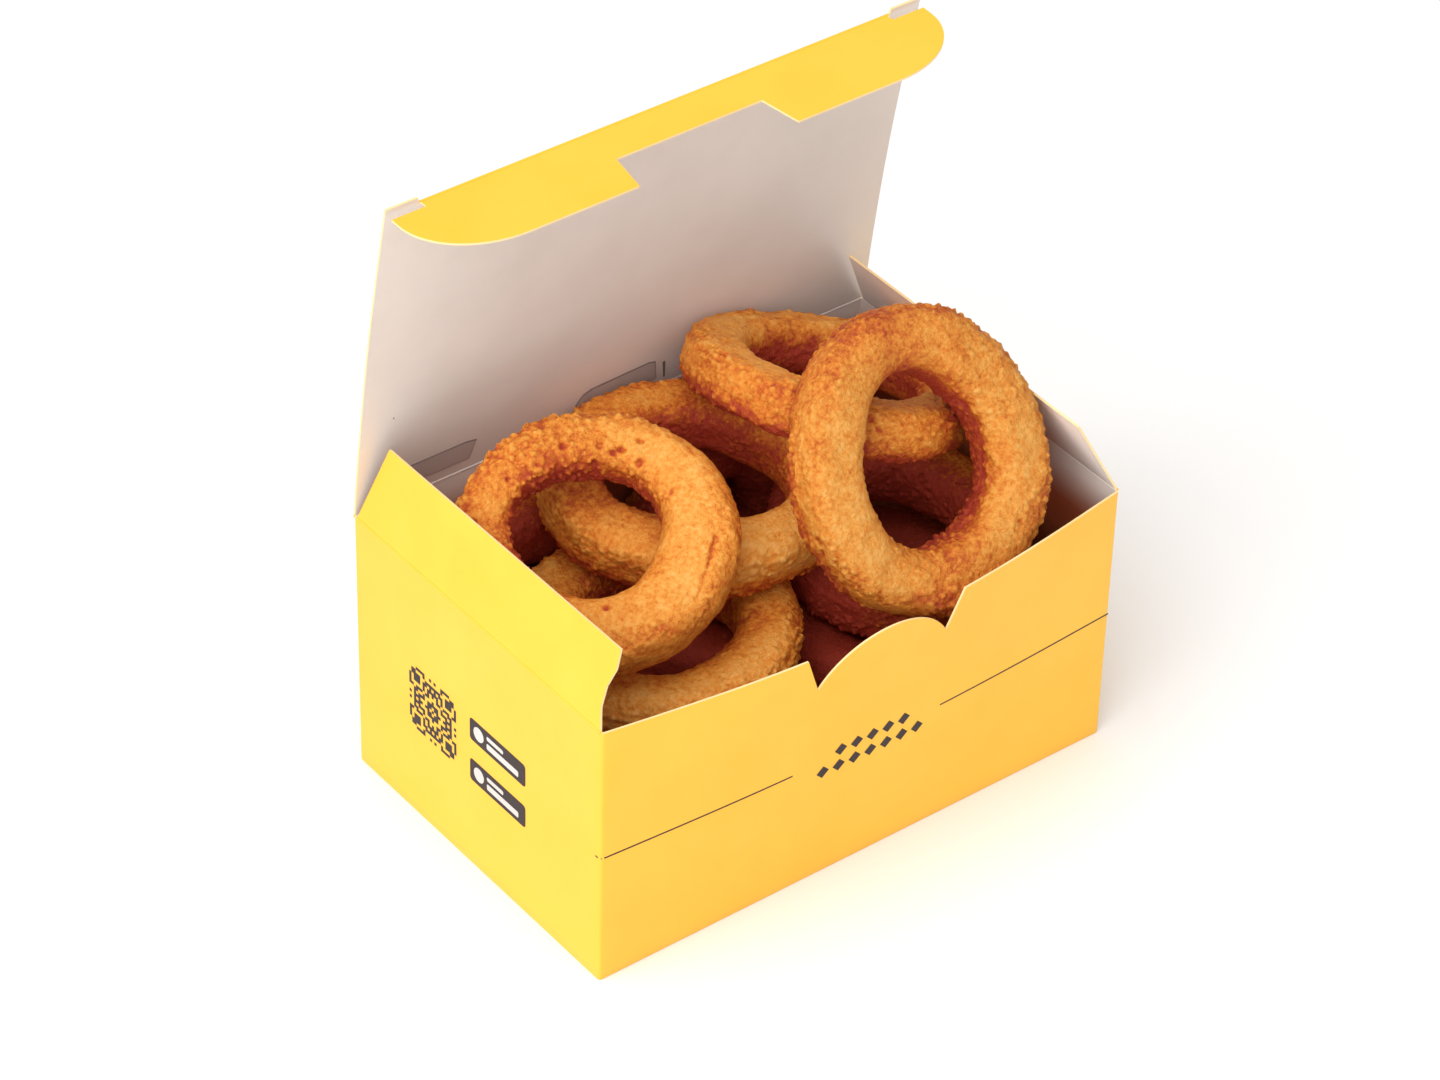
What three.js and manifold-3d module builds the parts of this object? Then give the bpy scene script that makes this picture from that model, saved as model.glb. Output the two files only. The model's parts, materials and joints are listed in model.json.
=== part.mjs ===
// Battered onion rings heaped in an open, lidded paperboard carton.
// Millimetres, +Z up, front towards -Y. The origin is the centre of the carton's underside.

import * as THREE from 'three';
import { mergeVertices } from 'three/addons/utils/BufferGeometryUtils.js';
import Module from 'manifold-3d';

const wasm = await Module();
wasm.setup();

// Carton board
const LENGTH = 165;
const DEPTH = 106;
const HEIGHT = 81;
const BOARD = 0.6;
const CREASE_GAP = 0.3;
const CURVE_STEPS = 10;

// Front wall: it bows out towards its rim, and a thumb tab stands between two notches
const FRONT_BOW = 8.7;
const BOW_RISE = 1.4;
const FRONT_ROWS = 6;
const FRONT_COLUMNS = 5;
const NOTCH_DEPTH = 12.2;
const NOTCH_MOUTH = 25;
const TAB_HALF_WIDTH = 20.5;
const TAB_RADIUS = 23.5;

// Lid: it stands nearly upright on the back wall, leaning over the food
const LID_HEIGHT = 102.6;
const LID_LEAN = 9.3;
const LID_BOW = 1.3;
const EAR_LENGTH = 10;
const EAR_HEIGHT = 2;
const EAR_SLOPE = 0.5;
const LID_ROWS = 8;
const LID_COLUMNS = 8;

// Tuck flap along the lid's free edge
const TUCK_DEPTH = 24.5;
const TUCK_FOLD = 82.5;
const TUCK_CORNER_WIDTH = 25;
const TUCK_CORNER_DEPTH = 19;
const TUCK_NOTCH_HALF_WIDTH = 23.5;
const TUCK_NOTCH_DEPTH = 12.3;
const TUCK_NOTCH_SLANT = 1;
const TUCK_SIDE_INSET = 0.5;

// Dust flaps on the two end walls
const LEFT_FLAP = { height: 23.6, lean: 15.4, frontInset: 0.5, backInset: 6.0 };
const RIGHT_FLAP = { height: 25.5, lean: 26.7, frontInset: 4.0, backInset: 6.6 };
const FLAP_ROOT_INSET = 0.6;
const FLAP_LID_CLEARANCE = 1.6;

// Onion rings. Each lies at `at`, leans by `lean` degrees towards the compass angle `toward`, and is
// spun by `spin` in its own plane. `size` holds the two half axes of its centre line, `tube` the
// radius of its section, and `swell` how much thicker it is on the side at `swellAt`.
// Listed from the bottom up, as each one comes to rest on those before it.
const RING_STEPS = 32;
const TUBE_SIDES = 14;
const REST_GAP = 0.35;
const DROP_STEP = 0.05;
const PROBE_POINTS = 96;
const DENT_DEPTH = 0.55;
const EGG_SHAPE = 0.018;
const OVAL_SHAPE = 0.01;
const WARP = 0.6;
const THREE_LOBES = 0.025;
const FIVE_LOBES = 0.02;
const PHASES = 8;
const RING_SEED = 12.9898;
const PHASE_SEED = 78.233;
const SCATTER = 43758.5453;
const COARSE_SHARE = 0.35;
const FINE_SHARE = 0.15;
const TANGENT_STEP = 0.01;
const RINGS = [
  { at: [-41, -12, 11], lean: 0, toward: 0, spin: 70,
    size: [31, 29], tube: 9.4, swell: 0.04, swellAt: 40 },
  { at: [41, -10, 11], lean: 0, toward: 0, spin: 20,
    size: [30.5, 29], tube: 9.3, swell: 0.05, swellAt: 200 },
  { at: [-36, -10, 31], lean: 1, toward: 160, spin: 0,
    size: [31, 28], tube: 9.5, swell: 0.04, swellAt: 120 },
  { at: [43, -9, 31], lean: 1, toward: 20, spin: 90,
    size: [29, 28], tube: 9.5, swell: 0.05, swellAt: 300 },
  { at: [-43, 43, 37.5], lean: 90, toward: -90, spin: 0,
    size: [27.5, 26.3], tube: 8.4, swell: 0.03, swellAt: 90 },
  { at: [23.5, 42.8, 35.4], lean: 89, toward: -91, spin: 0,
    size: [20.5, 26], tube: 8.5, swell: 0.04, swellAt: 30 },
  { at: [-28, -3, 53], lean: 3, toward: -90, spin: 0,
    size: [29.5, 28], tube: 9.4, swell: 0.05, swellAt: 20 },
  { at: [47.6, -8, 52], lean: 4, toward: 180, spin: 90,
    size: [30, 24], tube: 9.3, swell: 0.05, swellAt: 80 },
  { at: [-1.5, 16.2, 76.5], lean: 12, toward: -108, spin: -34,
    size: [32.4, 24.6], tube: 9.2, swell: 0.04, swellAt: 240 },
  { at: [-45.6, 1.6, 88], lean: 29, toward: -121, spin: -32,
    size: [27.6, 26.4], tube: 9.2, swell: 0.19, swellAt: -40 },
  { at: [39.2, 12.4, 95], lean: 20, toward: 18, spin: -45,
    size: [31.2, 28.6], tube: 8.2, swell: 0.04, swellAt: 180 },
  { at: [32.5, -30.5, 99.5], lean: 56, toward: -91, spin: 86,
    size: [31.5, 27.6], tube: 9.5, swell: 0.03, swellAt: 240 },
];

const boardOutside = new THREE.MeshStandardMaterial({ color: 0xf9c74a, roughness: 0.55, metalness: 0 });
const boardInside = new THREE.MeshStandardMaterial({ color: 0xd9cbbf, roughness: 0.8, metalness: 0 });
const crust = new THREE.MeshStandardMaterial({ color: 0xd38a35, roughness: 0.75, metalness: 0 });

const radians = THREE.MathUtils.degToRad;
const QUARTER_TURN = Math.PI / 2;
const FULL_TURN = 2 * Math.PI;

// Values from start to end in equal steps, both ends included
function spread(start, end, steps) {
  return Array.from({ length: steps + 1 }, (_, i) => start + ((end - start) * i) / steps);
}

// Joined list of stretches, without the values that two stretches share
function columnsOf(...stretches) {
  return stretches.flat().filter((value, i, all) => i === 0 || value > all[i - 1] + 1e-6);
}

function toSolid(geometry) {
  const bare = geometry.clone();
  bare.deleteAttribute('normal');
  bare.deleteAttribute('uv');
  const merged = mergeVertices(bare, 1e-4);
  const mesh = new wasm.Mesh({
    numProp: 3,
    vertProperties: new Float32Array(merged.attributes.position.array),
    triVerts: new Uint32Array(merged.index.array),
  });
  return new wasm.Manifold(mesh);
}

function toGeometry(solid) {
  const { vertProperties, triVerts, numProp } = solid.getMesh();
  const geometry = new THREE.BufferGeometry();
  const points = new Float32Array((vertProperties.length / numProp) * 3);
  for (let i = 0; i < points.length / 3; i += 1) {
    points.set(vertProperties.subarray(i * numProp, i * numProp + 3), i * 3);
  }
  geometry.setAttribute('position', new THREE.BufferAttribute(points, 3));
  geometry.setIndex(new THREE.BufferAttribute(new Uint32Array(triVerts), 1));
  geometry.computeVertexNormals();
  return geometry;
}

function named(name, geometry, material) {
  const mesh = new THREE.Mesh(geometry, material);
  mesh.name = name;
  return mesh;
}

function boardBox(width, depth, height, x, y, z) {
  return new THREE.BoxGeometry(width, depth, height).translate(x, y, z);
}

// A flat piece of board in the XZ plane, its thickness centred on that plane
function cutFromBoard(outline) {
  const geometry = new THREE.ExtrudeGeometry(outline, {
    depth: BOARD,
    bevelEnabled: false,
    curveSegments: CURVE_STEPS,
  });
  geometry.translate(0, 0, -BOARD / 2);
  geometry.rotateX(QUARTER_TURN);
  return geometry;
}

// A sheet of board standing in the XZ plane: `top(x)` is its upper edge, `face(x, z)` the y of its
// outer side, and the board's thickness lies behind that
function standingSheet(columns, rows, bottom, top, face) {
  const points = [];
  const triangles = [];
  const count = columns.length;
  const last = count - 1;
  const corner = (i, j, side) => (j * count + i) * 2 + side;
  for (let j = 0; j <= rows; j += 1) {
    for (const x of columns) {
      const z = bottom + ((top(x) - bottom) * j) / rows;
      points.push(x, face(x, z), z, x, face(x, z) + BOARD, z);
    }
  }
  const quad = (a, b, c, d) => triangles.push(a, b, c, a, c, d);
  for (let j = 0; j < rows; j += 1) {
    for (let i = 0; i < last; i += 1) {
      quad(corner(i, j, 0), corner(i + 1, j, 0), corner(i + 1, j + 1, 0), corner(i, j + 1, 0));
      quad(corner(i, j, 1), corner(i, j + 1, 1), corner(i + 1, j + 1, 1), corner(i + 1, j, 1));
    }
    quad(corner(0, j, 0), corner(0, j + 1, 0), corner(0, j + 1, 1), corner(0, j, 1));
    quad(corner(last, j, 0), corner(last, j, 1), corner(last, j + 1, 1), corner(last, j + 1, 0));
  }
  for (let i = 0; i < last; i += 1) {
    quad(corner(i, 0, 0), corner(i, 0, 1), corner(i + 1, 0, 1), corner(i + 1, 0, 0));
    quad(corner(i, rows, 0), corner(i + 1, rows, 0), corner(i + 1, rows, 1), corner(i, rows, 1));
  }
  const geometry = new THREE.BufferGeometry();
  geometry.setAttribute('position', new THREE.Float32BufferAttribute(points, 3));
  geometry.setIndex(triangles);
  return geometry;
}

// Carton: base and four walls folded from one board

function frontBow(x, z) {
  const along = Math.sin((Math.PI * (x + LENGTH / 2)) / LENGTH);
  return FRONT_BOW * along * (Math.max(z, 0) / HEIGHT) ** BOW_RISE;
}

function frontRim(x) {
  const across = Math.abs(x);
  const notchFloor = HEIGHT - NOTCH_DEPTH;
  if (across <= TAB_HALF_WIDTH) {
    const chordDrop = Math.sqrt(TAB_RADIUS ** 2 - TAB_HALF_WIDTH ** 2);
    return notchFloor + Math.sqrt(TAB_RADIUS ** 2 - across ** 2) - chordDrop;
  }
  const climb = Math.min(1, (across - TAB_HALF_WIDTH) / (NOTCH_MOUTH - TAB_HALF_WIDTH));
  return notchFloor + NOTCH_DEPTH * climb;
}

function makeCarton() {
  const half = LENGTH / 2;
  const columns = columnsOf(
    spread(-half, -NOTCH_MOUTH, FRONT_COLUMNS),
    spread(-TAB_HALF_WIDTH, TAB_HALF_WIDTH, CURVE_STEPS),
    spread(NOTCH_MOUTH, half, FRONT_COLUMNS),
  );
  const outside = (x, z) => -DEPTH / 2 - frontBow(x, z);
  const front = toSolid(standingSheet(columns, FRONT_ROWS, 0, frontRim, outside));
  const inner = DEPTH / 2 - BOARD / 2;
  const pieces = [
    boardBox(LENGTH, DEPTH, BOARD, 0, 0, BOARD / 2),
    boardBox(LENGTH, BOARD, HEIGHT, 0, inner, HEIGHT / 2),
    boardBox(BOARD, DEPTH, HEIGHT, -(half - BOARD / 2), 0, HEIGHT / 2),
    boardBox(BOARD, DEPTH, HEIGHT, half - BOARD / 2, 0, HEIGHT / 2),
  ];
  let solid = front;
  for (const piece of pieces) {
    solid = solid.add(toSolid(piece));
  }
  return named('carton', toGeometry(solid), boardOutside);
}

// Lid and tuck flap: the lid's group turns about the crease along the back wall, the flap's about
// the crease along the lid's free edge

function makeLid() {
  const half = LENGTH / 2;
  const earStart = half - EAR_LENGTH;
  const columns = columnsOf(
    [-half, -earStart - EAR_SLOPE],
    spread(-earStart, earStart, LID_COLUMNS),
    [earStart + EAR_SLOPE, half],
  );
  const top = (x) => (Math.abs(x) > earStart ? LID_HEIGHT + EAR_HEIGHT : LID_HEIGHT - CREASE_GAP);
  const bowed = (x, z) => {
    const up = Math.min(z, LID_HEIGHT) / LID_HEIGHT;
    return LID_BOW * Math.sin(Math.PI * up) - BOARD / 2;
  };
  return named('lid', standingSheet(columns, LID_ROWS, 2 * CREASE_GAP, top, bowed), boardInside);
}

function tuckOutline() {
  const half = LENGTH / 2 - TUCK_SIDE_INSET;
  const start = 2 * CREASE_GAP;
  const earStart = LENGTH / 2 - EAR_LENGTH;
  const flat = half - TUCK_CORNER_WIDTH;
  const shoulder = TUCK_DEPTH - TUCK_CORNER_DEPTH;
  const earClear = EAR_HEIGHT + CREASE_GAP;
  const notchMouth = TUCK_NOTCH_HALF_WIDTH + TUCK_NOTCH_SLANT;
  const notchFloor = TUCK_NOTCH_HALF_WIDTH - TUCK_NOTCH_SLANT;
  const shape = new THREE.Shape();
  shape.moveTo(-earStart + EAR_SLOPE, start);
  shape.lineTo(earStart - EAR_SLOPE, start);
  shape.lineTo(earStart - EAR_SLOPE, earClear);
  shape.lineTo(half, earClear);
  shape.lineTo(half, shoulder);
  shape.absellipse(flat, shoulder, TUCK_CORNER_WIDTH, TUCK_CORNER_DEPTH, 0, QUARTER_TURN, false);
  shape.lineTo(notchMouth, TUCK_DEPTH);
  shape.lineTo(notchFloor, TUCK_DEPTH - TUCK_NOTCH_DEPTH);
  shape.lineTo(-notchFloor, TUCK_DEPTH - TUCK_NOTCH_DEPTH);
  shape.lineTo(-notchMouth, TUCK_DEPTH);
  shape.lineTo(-flat, TUCK_DEPTH);
  shape.absellipse(-flat, shoulder, TUCK_CORNER_WIDTH, TUCK_CORNER_DEPTH, QUARTER_TURN, Math.PI, false);
  shape.lineTo(-half, earClear);
  shape.lineTo(-earStart + EAR_SLOPE, earClear);
  shape.closePath();
  return shape;
}

function makeTuckFlap() {
  const geometry = cutFromBoard(tuckOutline());
  return named('tuck_flap', toGeometry(toSolid(geometry)), boardOutside);
}

function makeLidGroup() {
  const tuckGroup = new THREE.Group();
  tuckGroup.position.set(0, 0, LID_HEIGHT);
  tuckGroup.rotation.x = radians(TUCK_FOLD);
  tuckGroup.add(makeTuckFlap());
  const lidGroup = new THREE.Group();
  lidGroup.position.set(0, DEPTH / 2 - BOARD / 2, HEIGHT);
  lidGroup.rotation.x = radians(LID_LEAN);
  lidGroup.add(makeLid(), tuckGroup);
  return lidGroup;
}

// Dust flaps: `side` is -1 for the left end wall and 1 for the right one

function makeDustFlap(name, side, { height, lean, frontInset, backInset }) {
  const front = -DEPTH / 2 + FLAP_ROOT_INSET;
  const back = DEPTH / 2 - FLAP_LID_CLEARANCE;
  const shape = new THREE.Shape();
  shape.moveTo(front, 2 * CREASE_GAP);
  shape.lineTo(back, 2 * CREASE_GAP);
  shape.lineTo(back - backInset, height);
  shape.lineTo(front + frontInset, height);
  shape.closePath();
  const geometry = cutFromBoard(shape);
  geometry.rotateZ(QUARTER_TURN);
  const group = new THREE.Group();
  group.position.set(side * (LENGTH / 2 - BOARD / 2), 0, HEIGHT);
  group.rotation.y = -side * radians(lean);
  group.add(named(name, toGeometry(toSolid(geometry)), side < 0 ? boardOutside : boardInside));
  return group;
}

// Onion rings

// A ring's axes: its long and short direction and the normal of its plane
function ringAxes({ lean, toward, spin }) {
  const tiltAxis = new THREE.Vector3(-Math.sin(radians(toward)), Math.cos(radians(toward)), 0);
  const tilt = new THREE.Quaternion().setFromAxisAngle(tiltAxis, radians(lean));
  const level = new THREE.Vector3(Math.cos(radians(spin)), Math.sin(radians(spin)), 0);
  const long = level.applyQuaternion(tilt);
  const normal = new THREE.Vector3(0, 0, 1).applyQuaternion(tilt);
  return { long, short: normal.clone().cross(long), normal };
}

// Seeded phases, so that every ring is uneven in its own way
function ringPhases(index) {
  return Array.from({ length: PHASES }, (_, i) => {
    const wave = Math.sin((index + 1) * RING_SEED + i * PHASE_SEED) * SCATTER;
    return (wave - Math.floor(wave)) * FULL_TURN;
  });
}

// Centre line with the slight egg shape and warp of a real slice of onion
function centrePoint(ring, axes, phases, angle, height) {
  const eggShape = EGG_SHAPE * Math.sin(3 * angle + phases[0]);
  const ovalShape = OVAL_SHAPE * Math.sin(2 * angle + phases[1]);
  const stretch = 1 + eggShape + ovalShape;
  const warp = WARP * Math.sin(2 * angle + phases[2]);
  return new THREE.Vector3(ring.at[0], ring.at[1], height)
    .addScaledVector(axes.long, ring.size[0] * stretch * Math.cos(angle))
    .addScaledVector(axes.short, ring.size[1] * stretch * Math.sin(angle))
    .addScaledVector(axes.normal, warp);
}

function tubeRadius(ring, phases, angle) {
  const swelling = ring.swell * Math.cos(angle - radians(ring.swellAt));
  const threeLobes = THREE_LOBES * Math.sin(3 * angle + phases[3]);
  const fiveLobes = FIVE_LOBES * Math.sin(5 * angle + phases[4]);
  return ring.tube * (1 + swelling + threeLobes + fiveLobes);
}

// Shallow dents of the batter, from 0 to DENT_DEPTH
function dent(phases, angle, around) {
  const across = Math.sin(7 * angle + 2 * around + phases[5]);
  const coarse = across * Math.sin(3 * around - 4 * angle + phases[6]);
  const fine = Math.sin(11 * angle - 3 * around + phases[7]);
  const level = 1 - COARSE_SHARE - FINE_SHARE;
  return DENT_DEPTH * (level + COARSE_SHARE * coarse + FINE_SHARE * fine);
}

function probesOf(ring, axes, phases, height) {
  return spread(0, FULL_TURN, PROBE_POINTS).slice(1).map((angle) => ({
    point: centrePoint(ring, axes, phases, angle, height),
    radius: tubeRadius(ring, phases, angle),
  }));
}

function clearance(probes, others) {
  let least = Infinity;
  for (const { point, radius } of probes) {
    least = Math.min(least, point.z - radius - BOARD);
    for (const other of others) {
      least = Math.min(least, point.distanceTo(other.point) - radius - other.radius);
    }
  }
  return least;
}

// Lifts a ring out of what is below it, or lowers it on to that
function restHeight(ring, axes, phases, settled) {
  let height = ring.at[2];
  while (clearance(probesOf(ring, axes, phases, height), settled) < REST_GAP) {
    height += DROP_STEP;
  }
  while (clearance(probesOf(ring, axes, phases, height - DROP_STEP), settled) >= REST_GAP) {
    height -= DROP_STEP;
  }
  return height;
}

function ringGeometry(ring, axes, phases, height) {
  const points = [];
  const triangles = [];
  for (let i = 0; i < RING_STEPS; i += 1) {
    const angle = (FULL_TURN * i) / RING_STEPS;
    const centre = centrePoint(ring, axes, phases, angle, height);
    const ahead = centrePoint(ring, axes, phases, angle + TANGENT_STEP, height);
    const behind = centrePoint(ring, axes, phases, angle - TANGENT_STEP, height);
    const along = ahead.sub(behind).normalize();
    const outward = along.clone().cross(axes.normal).normalize();
    const upward = outward.clone().cross(along);
    for (let j = 0; j < TUBE_SIDES; j += 1) {
      const around = (FULL_TURN * (j + (i % 2) / 2)) / TUBE_SIDES;
      const radius = tubeRadius(ring, phases, angle) - dent(phases, angle, around);
      const point = centre.clone()
        .addScaledVector(outward, radius * Math.cos(around))
        .addScaledVector(upward, radius * Math.sin(around));
      points.push(point.x, point.y, point.z);
    }
  }
  for (let i = 0; i < RING_STEPS; i += 1) {
    const next = (i + 1) % RING_STEPS;
    for (let j = 0; j < TUBE_SIDES; j += 1) {
      const step = (j + 1) % TUBE_SIDES;
      const here = i * TUBE_SIDES;
      const there = next * TUBE_SIDES;
      if (i % 2 === 0) {
        triangles.push(here + j, there + j, here + step);
        triangles.push(here + step, there + j, there + step);
      } else {
        triangles.push(here + j, there + j, there + step);
        triangles.push(here + j, there + step, here + step);
      }
    }
  }
  const geometry = new THREE.BufferGeometry();
  geometry.setAttribute('position', new THREE.Float32BufferAttribute(points, 3));
  geometry.setIndex(triangles);
  return geometry;
}

function makeRings() {
  const settled = [];
  return RINGS.map((ring, index) => {
    const axes = ringAxes(ring);
    const phases = ringPhases(index);
    const height = restHeight(ring, axes, phases, settled);
    settled.push(...probesOf(ring, axes, phases, height));
    const name = `ring_${String(index + 1).padStart(2, '0')}`;
    return named(name, ringGeometry(ring, axes, phases, height), crust);
  });
}

const model = new THREE.Group();
model.name = 'onion_rings_in_carton';
model.add(makeCarton());
model.add(makeLidGroup());
model.add(makeDustFlap('left_flap', -1, LEFT_FLAP));
model.add(makeDustFlap('right_flap', 1, RIGHT_FLAP));
model.add(...makeRings());
model.updateMatrixWorld(true);

export default model;
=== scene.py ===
# Battered onion rings heaped in an open paperboard carton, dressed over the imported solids.
# Metres, +Z up, front towards -Y, the origin at the centre of the carton's underside.

import json
import math

import bmesh
import bpy
import numpy as np
from mathutils import Matrix, Vector

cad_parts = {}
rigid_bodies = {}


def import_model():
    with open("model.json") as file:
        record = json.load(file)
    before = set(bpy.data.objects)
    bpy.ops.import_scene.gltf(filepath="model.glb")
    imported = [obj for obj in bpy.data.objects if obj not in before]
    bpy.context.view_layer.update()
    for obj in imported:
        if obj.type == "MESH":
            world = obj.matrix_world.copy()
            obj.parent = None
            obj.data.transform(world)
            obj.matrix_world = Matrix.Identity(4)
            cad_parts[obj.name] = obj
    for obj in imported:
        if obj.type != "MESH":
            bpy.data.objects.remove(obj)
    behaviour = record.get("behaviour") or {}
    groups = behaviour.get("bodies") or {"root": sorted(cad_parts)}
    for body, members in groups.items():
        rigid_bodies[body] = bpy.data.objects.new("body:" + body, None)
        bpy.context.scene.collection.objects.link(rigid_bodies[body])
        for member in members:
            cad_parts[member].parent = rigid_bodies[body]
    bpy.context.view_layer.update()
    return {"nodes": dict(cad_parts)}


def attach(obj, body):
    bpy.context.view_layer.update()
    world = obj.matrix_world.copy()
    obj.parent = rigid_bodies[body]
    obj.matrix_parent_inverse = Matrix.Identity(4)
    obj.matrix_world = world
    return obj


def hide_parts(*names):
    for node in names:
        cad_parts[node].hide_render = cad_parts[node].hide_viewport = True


MM = 0.001

# Camera, fitted to the photograph
IMAGE_WIDTH = 1440
SENSOR_MM = 36
FOCAL_PX = 5144.0
CAMERA_AZIMUTH = -38.418
CAMERA_ELEVATION = 38.040
CAMERA_ROLL = 1.6285
CAMERA_DISTANCE = 1361.535 * MM
CAMERA_RIGHT = -2.987 * MM
CAMERA_UP = 54.381 * MM
CAMERA_REACH = 20

# Carton board, with the same sizes as the solids
LENGTH = 165 * MM
DEPTH = 106 * MM
HEIGHT = 81 * MM
BOARD = 0.6 * MM
CORNER = 1.0 * MM
CREASE = 0.5 * MM
CREASE_RADIUS = 0.5 * MM
FRONT_BOW = 8.7 * MM
BOW_RISE = 1.4
NOTCH_DEPTH = 12.2 * MM
NOTCH_MOUTH = 25 * MM
TAB_HALF_WIDTH = 20.5 * MM
TAB_RADIUS = 23.5 * MM
LID_HEIGHT = 102.6 * MM
LID_LEAN = math.radians(9.3)
LID_BOW = 1.3 * MM
EAR_LENGTH = 10 * MM
EAR_HEIGHT = 2 * MM
EAR_SLOPE = 0.5 * MM
TUCK_DEPTH = 24.5 * MM
TUCK_FOLD = math.radians(82.5)
TUCK_CORNER_WIDTH = 25 * MM
TUCK_CORNER_DEPTH = 19 * MM
TUCK_NOTCH_HALF_WIDTH = 23.5 * MM
TUCK_NOTCH_DEPTH = 12.3 * MM
TUCK_NOTCH_SLANT = 1 * MM
TUCK_SIDE_INSET = 0.5 * MM
FLAP_ROOT_INSET = 0.6 * MM
FLAP_LID_CLEARANCE = 1.6 * MM
LID_EDGE_GAP = CREASE / 3

# Dust flaps: "back" is the slant of the back edge. The front edge runs through points from the
# crease up, each as its distance from the crease's front end and its height.
LEFT_FLAP = {
    "height": 23.6 * MM, "lean": math.radians(15.4), "back": 6.0 * MM,
    "front": [(0, 0), (2.1 * MM, 6 * MM), (2.0 * MM, 12 * MM), (0.2 * MM, 18 * MM), (0.5 * MM, 23.6 * MM)],
}
RIGHT_FLAP = {
    "height": 25.5 * MM, "lean": math.radians(26.7), "back": 6.6 * MM,
    "front": [(0, 0), (4.0 * MM, 25.5 * MM)],
}

# The carton's lower edge: height and inset of its outer face, and height of its inner one
LOWER_EDGE = ((0, 0.5 * MM, BOARD), (0.15 * MM, 0.2 * MM, BOARD + 0.15 * MM / 4))
INNER_FOOT = BOARD + 0.1 * MM

# Steps of the board's meshes
SHOULDER_STEPS = 12
TAB_STEPS = 36
CORNER_STEPS = 6
END_WALL_STEPS = 16
BACK_WALL_STEPS = 20
WALL_ROWS = 22
LID_COLUMNS = 24
LID_ROWS = 26
TUCK_CORNER_STEPS = 14
FLAP_COLUMNS = 30
FLAP_ROWS = 16
CREASE_SIDES = 12
# The cosine, from a crease's outward side, at which its print ends
CREASE_PRINT_END = -0.1

# Marks on the lid in mm, as x and height above the crease, against the clock as seen from the food
LID_STRIPS = {
    "left": [(-67.5, 3.4), (-47.2, 3.2), (-45.2, 9.6), (-48.5, 10.2), (-67.5, 10.2)],
    "right": [(-13.9, 3.0), (12.8, 3.0), (11.9, 9.9), (9.7, 10.5), (-9.1, 9.9), (-11.8, 9.0), (-14.1, 5.7)],
}
THIN_MARKS = {
    "end": [(14.8, 2.5), (15.6, 2.5), (14.8, 8.4), (14.0, 8.4)],
    "speck": [(-72.9, 29.1), (-72.4, 28.9), (-72.2, 29.5), (-72.7, 29.8)],
}
STRIP_RISE = 0.25
STRIP_BEVEL = 0.55
THIN_RISE = STRIP_RISE / 3
THIN_BEVEL = STRIP_BEVEL / 3

# Print on the board
PRINT_LIFT = 0.04 * MM
LINE_LOW = 40.5 * MM
LINE_HIGH = 41.0 * MM
LINE_WRAP = 1.6 * MM
LINE_LEFT_END = -24.8 * MM
LINE_RIGHT_START = 22.9 * MM
LINE_RIGHT_END = LENGTH / 2 - CORNER * 0.3
LINE_PIECES = 60
# Rows of diamonds: how many, and the height of their middles
DIAMOND_ROWS = ((5, 42.6 * MM), (7, 37.0 * MM))
DIAMOND_PITCH = 5.1 * MM
DIAMOND_SHIFT = 0.4 * MM
DIAMOND_HALF_WIDTH = 2.0 * MM
DIAMOND_HALF_HEIGHT = 2.1 * MM
SQUARES = 21
SQUARES_SIDE = 20.7 * MM
SQUARES_Y = 8.4 * MM
SQUARES_Z = 28.8 * MM
SQUARES_SHARE = 0.53
SQUARES_SEED = 7
BADGE_Y = -21.6 * MM
BADGE_WIDTH = 24.0 * MM
BADGE_HEIGHT = 7.2 * MM
BADGE_BOTTOMS = (42.0 * MM, 28.6 * MM)
BADGE_CORNER = 1.1 * MM
# A badge's disc, from the badge's high end and from its middle
DISC_START = 6.1 * MM
DISC_END = 1.7 * MM
DISC_HALF_HEIGHT = 2.2 * MM
DISC_CORNER = 2.19 * MM
# A badge's bars: lower and upper edge from its middle, and start from the badge's low end
BARS = ((0.7 * MM, 2.0 * MM, 9.5 * MM), (-2.2 * MM, -0.3 * MM, 3.0 * MM))
BAR_END = 7.4 * MM
BAR_CORNER = 0.4 * MM
BAR_CORNER_STEPS = 2

# Rings: how brown each one is fried, from 0 (pale) to 1 (dark)
RING_BROWNING = {
    "ring_01": 0.75, "ring_02": 0.75, "ring_03": 0.75, "ring_04": 0.75,
    "ring_05": 0.56, "ring_06": 0.58, "ring_07": 0.10, "ring_08": 0.64,
    "ring_09": 0.25, "ring_10": 0.38, "ring_11": 0.34, "ring_12": 0.38,
}
# Painted light and shade: how light the colours of a ring are, where it isn't 1
RING_PAINTED_LIGHT = {"ring_07": 1.08, "ring_09": 1.08, "ring_10": 0.98, "ring_12": 0.85}
# Rings with paler sides: compass angle of the palest one, number of such sides, and how much paler
# The paler sides are partly painted light and partly uneven frying
PALE_AND_LIT_SIDES = {
    "ring_09": [(-90, 1, 0.20)],
    "ring_10": [(-20, 1, 0.10)],
    "ring_12": [(0, 2, 0.14), (-90, 1, 0.10)],
}
# The side of a ring with more pits, as a compass angle, and how strongly it counts
PITTED_SIDE = {"ring_10": 110}
PITTED_SIDE_SHARE = 0.8
# Single pits by place, and a crack by the points on its way, in mm
PITS = {
    "ring_10": [(-42, 19, 106), (-34, 14, 105.5), (-30, 10, 104.5), (-28, 5.5, 103), (-36, 13.5, 102),
                (-25, 8.5, 107), (-56, -19, 86)],
    "ring_12": [(-3, -37.5, 89.5), (-3.5, -36, 93)],
}
CRACKS = {"ring_10": [(-25, -22.5, 95.5), (-29.5, -26, 92.5), (-33.5, -28.5, 90), (-37, -30.5, 86.5)]}
HIDDEN_RINGS = ["ring_01", "ring_02", "ring_03", "ring_04"]
FINE_LEVEL = 3
COARSE_LEVEL = 2
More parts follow.
